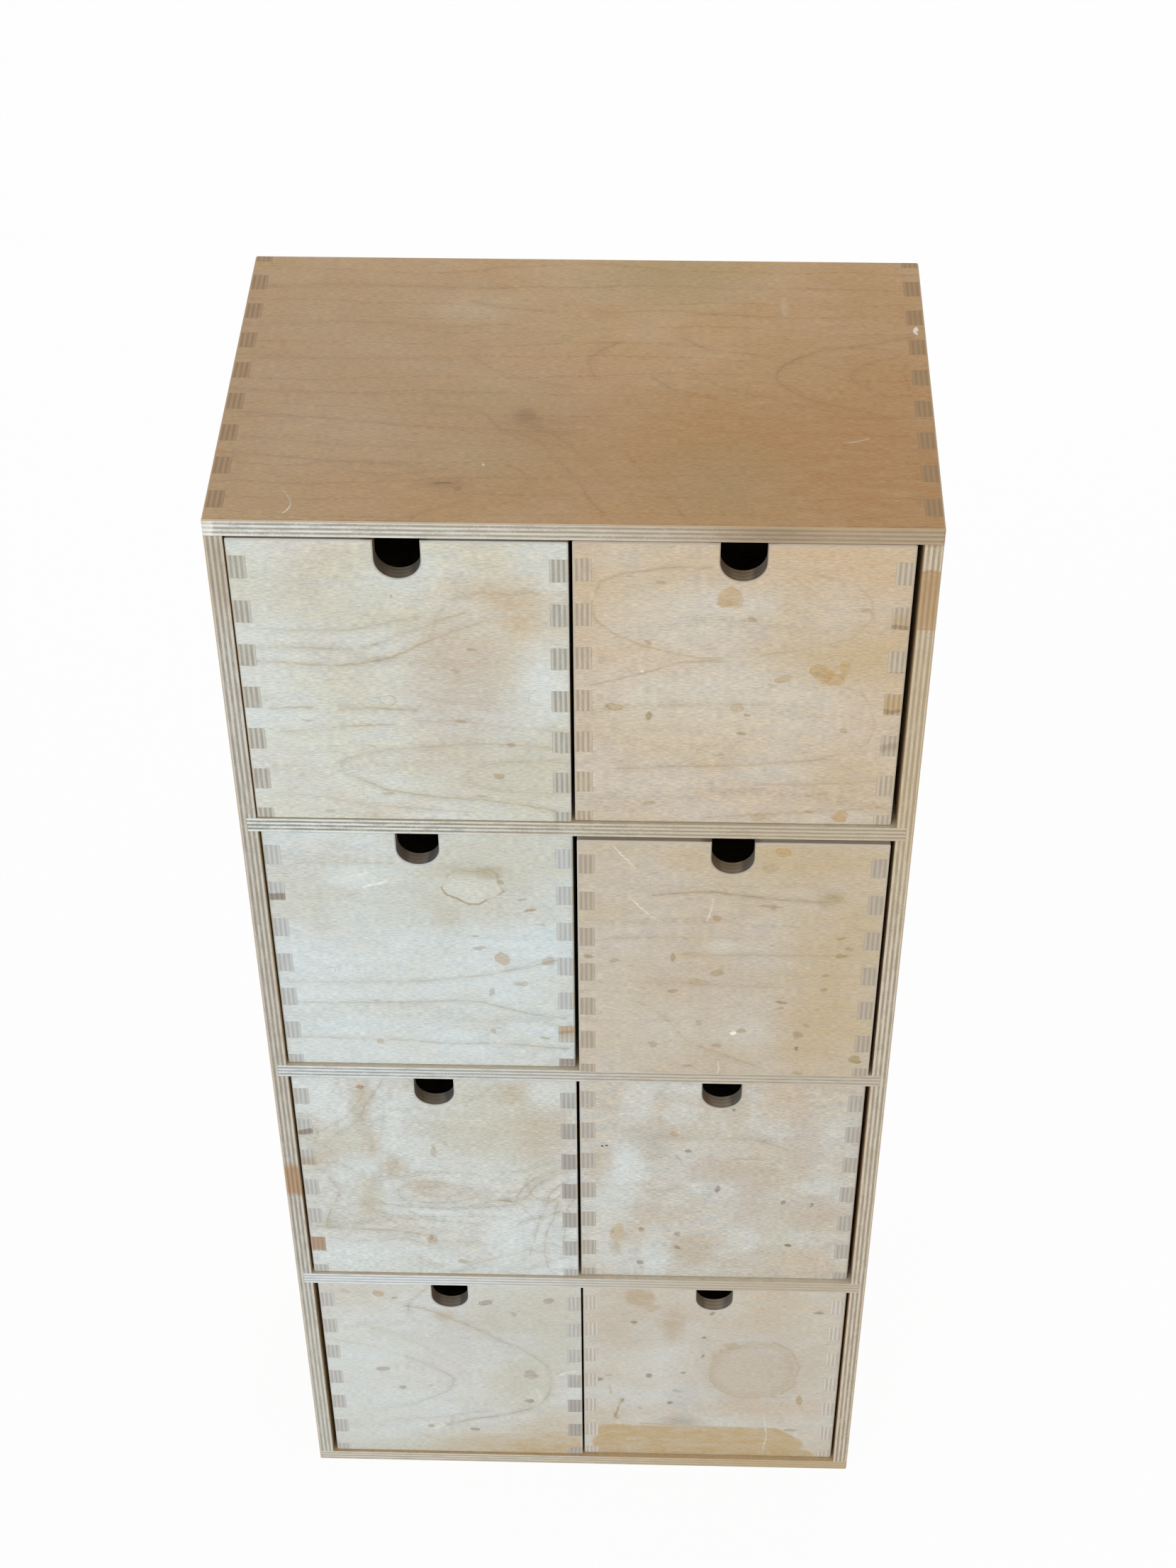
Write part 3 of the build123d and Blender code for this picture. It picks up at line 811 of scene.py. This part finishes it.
FRONTS["right", 4] = Wood(
    (207, 207, 200), (203, 195, 180), blush=(200, 186, 168), blush_share=0.45, slope=0.01, wander=0.4,
    ring=0.15, edge=((207, 200, 188), (196, 189, 177)),
    marks=[
        haze("pale", (46, 82, 26, 28, 0.35)), haze("rose", (100, 88, 34, 38, 0.7)),
        blot("straw", (93, 85, 12, 13, 0.3)), haze("peach", (104, 46, 34, 12, 0.3)),
        haze("rose", (34, 128, 34, 22, 0.5), (12, 112, 12, 12, 0.4)),
        haze("sand", (106, 146, 40, 18, 0.35)),
        stain_and_shade("tan", (31, 150, 8, 8, 0.7), (38, 140, 4, 4, 0.4), (123, 56, 1.8, 5.6, 0.95, 0.6),
              (84, 107, 5, 3, 0.5)),
        haze("tan", (50, 125, 6, 13, 0.6)), haze("slate", (56, 55, 10, 12, 0.12), (56, 33, 10, 5, 0.3)),
        stain_and_shade("drab", (29, 127, 1.8, 1.6, 0.9), (68, 114, 1.4, 1.8, 0.8), (67, 97, 1.2, 1.2, 0.7),
              (37, 78, 2.2, 2.4, 0.8), (9, 74, 2.2, 1.8, 0.7), (49, 51, 2, 1.8, 0.7),
              (130, 139, 3, 1.2, 0.6), (120, 26, 4, 1.2, 0.4)),
        stain_and_shade("olive", (56, 81, 1.8, 1.4, 0.9), (14, 77, 2, 1.4, 0.5)),
        stain_and_shade("grey", (53, 63, 3.4, 1.2, 0.6), (32, 46, 1.6, 1.4), (106, 79, 1.4, 1.2, 0.5)),
        stain_and_shade("umber", (72, 137, 1.4, 1.8, 0.5)),
    ],
    strokes=[
        stroke("sand", 8.5, 0.9, (14, 22), (110, 21.5), (120, 12), (12, 12), (12, 0), (127, 0)),
        stroke("olive", 1.4, 0.4, (33, 31), (58, 30.5)),
        stroke("tan", 5, 0.34, (95, 109), (107, 107), (115, 100), (118, 86), (116, 72), (108, 63),
               (96, 60), (84, 62), (76, 70), (73, 84), (76, 98), (84, 106), (95, 109), soft=5),
        stroke("tan", 1.4, 0.6, (106, 111), (117, 103), (122, 88), (119, 70), (110, 60)),
        stroke("tan", 1.2, 0.5, (100, 58), (88, 58), (78, 64), (72, 76), (72, 90), (78, 103)),
        stroke("brown", 0.9, 0.5, (100, 59), (118, 60)),
        stroke("olive", 1.2, 0.9, (22, 54), (20, 46), (18.6, 38)),
        stroke("olive", 2.6, 0.8, (21.5, 54), (21, 51)), stroke("olive", 2.4, 0.7, (18.6, 39), (18.6, 36)),
        stroke("brown", 1.2, 0.7, (15, 68), (15, 60)),
        stroke("cream", 0.8, 0.7, (105, 34), (105.5, 18), (104.5, 2)),
        stroke("cream", 0.7, 0.5, (103, 44), (105, 34)), stroke("white", 0.8, 0.6, (109, 61), (117, 61)),
    ],
)

# The notch's cut edge is browner on its left and greyer on its right; these dark tints are partly the
# edge's own colour and partly painted shade, as the notch lies in the shade of the panel above, and a
# black haze of painted shade makes it darker in the left column
NOTCH_TINTS_AND_SHADE = [
    # Tints of the notch's cut edge, partly its own colour and partly painted shade
    stain_and_shade("umber", (62, 148, 6, 14, 0.75)), haze("brown", (70, 139, 8, 4, 0.6)),
    stain_and_shade("slate", (82, 148, 6, 14, 0.7)),
]
# A black haze of painted shade over the notch's cut edge, which lies in the shade of the panel above;
# heavier in the left column
NOTCH_PAINTED_SHADE = {
    "left": haze("black", (72, 141, 18, 16, 0.4)),
    "right": haze("black", (72, 141, 18, 16, 0.12)),
}

# Stains on some drawers' finger ends; a mark at the front of a drawer's side is at zero along it
FINGER_MARKS = {
    "row1_right_drawer_right_side": [
        haze("amber", (0, 118, 9, 4, 0.4), (0, 73, 9, 6, 0.6)),
        stain_and_shade("umber", (0, 116, 9, 1, 0.4), (0, 90, 9, 0.9, 0.3), (0, 69, 9, 1, 0.4)),
        haze("umber", (0, 48, 9, 2, 0.3)),
    ],
    "row2_left_drawer_right_side": [
        haze("amber", (0, 30, 9, 7, 0.6)), stain_and_shade("umber", (0, 26, 9, 1, 0.3)),
        haze("umber", (0, 4, 9, 4, 0.5)),
    ],
    "row2_left_drawer_left_side": [stain_and_shade("umber", (0, 117, 9, 2, 0.6))],
    "row3_left_drawer_left_side": [
        stain_and_shade("rust", (0, 25, 9, 6, 0.65)), stain_and_shade("black", (0, 84, 9, 1.2, 0.6)),
        haze("rust", (0, 92, 9, 4, 0.4)), stain_and_shade("umber", (0, 117, 9, 2, 0.6)),
    ],
    "row3_left_drawer_right_side": [haze("umber", (0, 85, 9, 60, 0.35))],
    "row4_left_drawer_right_side": [haze("umber", (0, 30, 9, 40, 0.3))],
}

CARCASE_HEIGHT = 684
CARCASE_WIDTH = 310
CARCASE_DEPTH = 206

# Finger ends at the top of the sides and at the ends of the top and the bottom, and the rear edges; the
# largest half sizes take in a panel's whole length
AGED_LEFT = darkened("aged", (CARCASE_HEIGHT, 100, 8, 400, 0.88))
AGED_RIGHT = darkened("aged", (CARCASE_HEIGHT, 100, 8, 400, 0.97))
AGED_ENDS = darkened("brown", (0, 112, 7, 100, 0.85), (CARCASE_WIDTH, 112, 7, 100, 0.85))
AGED_BACK = darkened("brown", (340, CARCASE_DEPTH, 800, 8, 0.5))

# The top, read from its front left corner; its tones are darker and warmer than the fronts', partly the
# wood's own warmer colour and partly painted warm, dim light from above
TOP = Wood(
    (187, 158, 120), (183, 150, 106), blush=(183, 146, 102), blush_share=0.4, slope=0.08, ring=0.35,
    line_share=0.12, edge=((221, 223, 217), (168, 167, 158)),
    lines=[
        line(0.72, (124, 66), (138, 61), (146, 48), (156, 32), (162, 18), (167, 8)),
        line(0.56, (136, 72), (150, 60), (160, 44), (172, 28), (182, 12)),
        line(0.56, (176, 52), (188, 32), (196, 18), (202, 6)), line(0.48, (210, 42), (222, 24), (232, 8)),
        line(0.56, (0, 80), (60, 73), (110, 66)), line(0.48, (0, 62), (50, 55), (100, 52)),
        line(0.56, (0, 49), (60, 42), (90, 40)), line(0.48, (0, 97), (80, 92), (122, 96)),
        line(0.56, (85, 86), (108, 84), (118, 76), (122, 66)), line(0.48, (60, 36), (80, 32), (100, 38)),
        line(0.64, (126, 42), (134, 36), (137, 28), (134, 22)), line(0.64, (110, 17), (98, 11), (88, 4)),
        line(0.88, (304, 143), (285, 137), (262, 131), (248, 123), (241, 113), (244, 103), (255, 93),
             (270, 87), (292, 79)),
        line(0.8, (296, 127), (282, 121), (274, 113), (277, 105), (290, 97)),
        line(0.8, (300, 121), (297, 112), (301, 102)),
        line(0.64, (206, 110), (214, 104), (226, 98), (244, 92), (270, 82)),
        line(0.56, (188, 108), (198, 98), (216, 92)),
        line(0.64, (172, 136), (161, 127), (158, 118), (162, 107)),
        line(0.48, (200, 140), (216, 128), (240, 126)), line(0.56, (104, 169), (120, 163), (142, 160)),
        line(0.48, (0, 124), (50, 120), (96, 122)),
        line(0.48, (106, 124), (118, 112), (132, 106), (150, 100)),
        line(0.48, (0, 148), (60, 152), (100, 146), (122, 150)),
        line(0.48, (160, 160), (200, 164), (240, 158)), line(0.48, (0, 180), (60, 184), (120, 180)),
    ],
    marks=[
        haze("chestnut", (285, 36, 90, 70, 0.75), (190, 58, 76, 46, 0.55), (300, 140, 70, 70, 0.45)),
        haze("dusk", (30, 100, 110, 110, 0.45)),
        haze("olive", (194, 188, 38, 18, 0.5), (216, 30, 26, 28, 0.4), (132, 40, 36, 36, 0.25),
             (120, 90, 46, 10, 0.2)),
        haze("chestnut", (120, 10, 60, 20, 0.25)),
        haze("cream", (104, 160, 16, 10, 0.1), (247, 166, 1.4, 6, 0.15)),
        haze("umber", (132, 77, 5, 5, 0.4), (140, 70, 16, 10, 0.16)),
        stain_and_shade("umber", (99, 27, 4, 0.9, 0.55)), haze("umber", (99, 27, 10, 4, 0.25)),
        stain_and_shade("umber", (106, 24, 2, 1.2, 0.3)), stain_and_shade("white", (305.5, 148, 0.9, 2.6, 0.9)),
        stain_and_shade("cream", (116, 42, 0.8, 0.8, 0.6)),
    ],
    strokes=[
        stroke("cream", 0.6, 0.9, (31.5, 21), (34.5, 18), (36, 14), (35.6, 10), (34, 6.5)),
        stroke("cream", 0.6, 0.45, (270, 61), (276, 62), (281, 64)),
        stroke("umber", 1.3, 0.4, (0, 0.7), (CARCASE_WIDTH, 0.7)),
    ],
    edge_marks=[
        haze("brown", (300, 0, 110, 8, 0.85)), haze("tan", (170, 0, 120, 8, 0.35)),
        haze("umber", (236, 0, 20, 8, 0.3)), stain_and_shade("white", (1, 0, 3, 3, 0.6)), AGED_ENDS, AGED_BACK,
    ],
)


def plain(cool, warm, seed, **more):
    """Wood for a panel that the photograph hides: a quiet figure with rings that the seed places."""
    along = (seed * 0.618) % 1.0
    across = (seed * 0.414) % 1.0
    hill = Hill(50 + 250 * along, 30 + 100 * across, 120, 26, 2.3)
    return Wood(cool, warm, blush=warm, slope=0.045, wander=0.5, ring=0.32, line_share=0.5, hills=[hill],
                cloud=(0.004, 0.030), **more)


# The carcase, with each panel's axes; the edges of its panels show beside the drawers, and a mark at a
# front edge is at zero across
INSIDE = ((203, 193, 173), (197, 183, 158))
OUTSIDE = ((195, 171, 136), (189, 162, 124))
CARCASE = {
    "top_panel": ("xyz", TOP),
    "bottom_panel": ("xyz", plain(*OUTSIDE, 2, edge=((213, 208, 194), (188, 180, 165)), edge_marks=[
        haze("sand", (300, 0, 130, 8, 0.85)), AGED_ENDS, AGED_BACK,
    ])),
    "left_side": ("zyx", plain(*OUTSIDE, 3, edge=((201, 198, 188), (162, 156, 145)), edge_marks=[
        stain_and_shade("rust", (256, 0, 12, 6, 0.7)), haze("brown", (400, 0, 120, 6, 0.14), (660, 0, 30, 6, 0.35)),
        haze("cream", (60, 0, 90, 6, 0.25)), AGED_LEFT, AGED_BACK,
    ])),
    "right_side": ("zyx", plain(*OUTSIDE, 4, edge=((206, 194, 175), (168, 155, 134)), edge_marks=[
        [Mark("rust", 646, 0, 15, 6, 0.75, 0.9, 0.12, 0.12)], haze("sand", (570, 0, 95, 6, 0.5)),
        AGED_RIGHT, AGED_BACK,
    ])),
    "upper_shelf": ("xyz", plain(*INSIDE, 5, edge=((220, 224, 218), (150, 152, 145)), edge_marks=[
        haze("tan", (290, 0, 170, 6, 0.74)),
    ])),
    "middle_shelf": ("xyz", plain(*INSIDE, 6, edge=((215, 220, 219), (168, 172, 171)), edge_marks=[
        haze("tan", (290, 0, 155, 6, 0.65)),
    ])),
    "lower_shelf": ("xyz", plain(*INSIDE, 7, edge=((221, 226, 227), (193, 198, 198)), edge_marks=[
        haze("tan", (290, 0, 145, 6, 0.76)),
    ])),
    "back_panel": ("zxy", plain(*INSIDE, 8)),
}
DRAWER_AXES = {"front": "xzy", "back": "xzy", "left_side": "yzx", "right_side": "yzx", "bottom": "xyz"}

seed = 0
for name, (axes, wood) in CARCASE.items():
    seed += 1
    panel_material(name, wood, axes, THIN_PLIES if name == "back_panel" else THICK_PLIES, seed)
for (column, row), front in FRONTS.items():
    # Each drawer front's cut edge takes the notch's tints and the painted shade over its notch
    front.edge_marks = [*NOTCH_TINTS_AND_SHADE, NOTCH_PAINTED_SHADE[column]]
    for piece, axes in DRAWER_AXES.items():
        seed += 1
        name = f"row{row}_{column}_drawer_{piece}"
        marks = FINGER_MARKS.get(name, [])
        wood = front if piece == "front" else plain(*INSIDE, seed, edge=front.edge, edge_marks=marks)
        panel_material(name, wood, axes, THIN_PLIES if piece == "bottom" else THICK_PLIES, seed)


def make_floor():
    """A plain white floor that keeps a soft shadow."""
    bpy.ops.mesh.primitive_plane_add(size=FLOOR_SIDE)
    floor = bpy.context.object
    floor.name = "floor"
    material = bpy.data.materials.new("floor_white")
    graph = emptied_graph(material)
    paint = graph.node("ShaderNodeBsdfDiffuse", {"Color": FLOOR_PAINT})
    white = graph.node("ShaderNodeEmission", {"Color": WHITE, "Strength": 1.0})
    share = graph.math("MULTIPLY", graph.seen(), FLOOR_WHITE_SHARE)
    mixed = graph.node("ShaderNodeMixShader", {0: share, 1: paint.outputs[0], 2: white.outputs[0]})
    graph.node("ShaderNodeOutputMaterial", {"Surface": mixed.outputs[0]})
    floor.data.materials.append(material)


def make_world():
    """An even white surround, as bright as white paper where it is seen directly."""
    world = bpy.data.worlds.new("studio")
    bpy.context.scene.world = world
    graph = emptied_graph(world)
    soft = graph.node("ShaderNodeBackground", {"Color": WHITE, "Strength": SURROUND_STRENGTH})
    white = graph.node("ShaderNodeBackground", {"Color": WHITE, "Strength": 1.0})
    mixed = graph.node("ShaderNodeMixShader", {0: graph.seen(), 1: soft.outputs[0], 2: white.outputs[0]})
    graph.node("ShaderNodeOutputWorld", {"Surface": mixed.outputs[0]})


def make_lamp(name, place, size, power):
    """A square lamp that is turned to the middle of the cabinet."""
    lamp = bpy.data.lights.new(name, "AREA")
    lamp.shape = "SQUARE"
    lamp.size = size
    lamp.energy = power
    holder = bpy.data.objects.new(name, lamp)
    holder.location = place
    holder.rotation_euler = (Vector(LAMP_AIM) - Vector(place)).to_track_quat("-Z", "Y").to_euler()
    bpy.context.scene.collection.objects.link(holder)


def make_camera():
    lens = bpy.data.cameras.new("camera")
    lens.lens = CAMERA_LENS
    lens.shift_y = PICTURE_CENTRE_DROP / PICTURE_HEIGHT
    camera = bpy.data.objects.new("camera", lens)
    camera.location = CAMERA_PLACE
    camera.rotation_euler = Euler([radians(angle) for angle in CAMERA_TURN])
    bpy.context.scene.collection.objects.link(camera)
    bpy.context.scene.camera = camera


make_floor()
make_world()
make_lamp("front_left_light", place=(-1.6, -3.0, 1.7), size=2.2, power=48.0)
make_lamp("front_right_light", place=(1.8, -2.2, 1.1), size=1.8, power=12.0)
make_lamp("back_light", place=(0.4, 2.2, 2.2), size=1.8, power=30.0)
make_camera()
bpy.context.scene.view_settings.view_transform = "Standard"
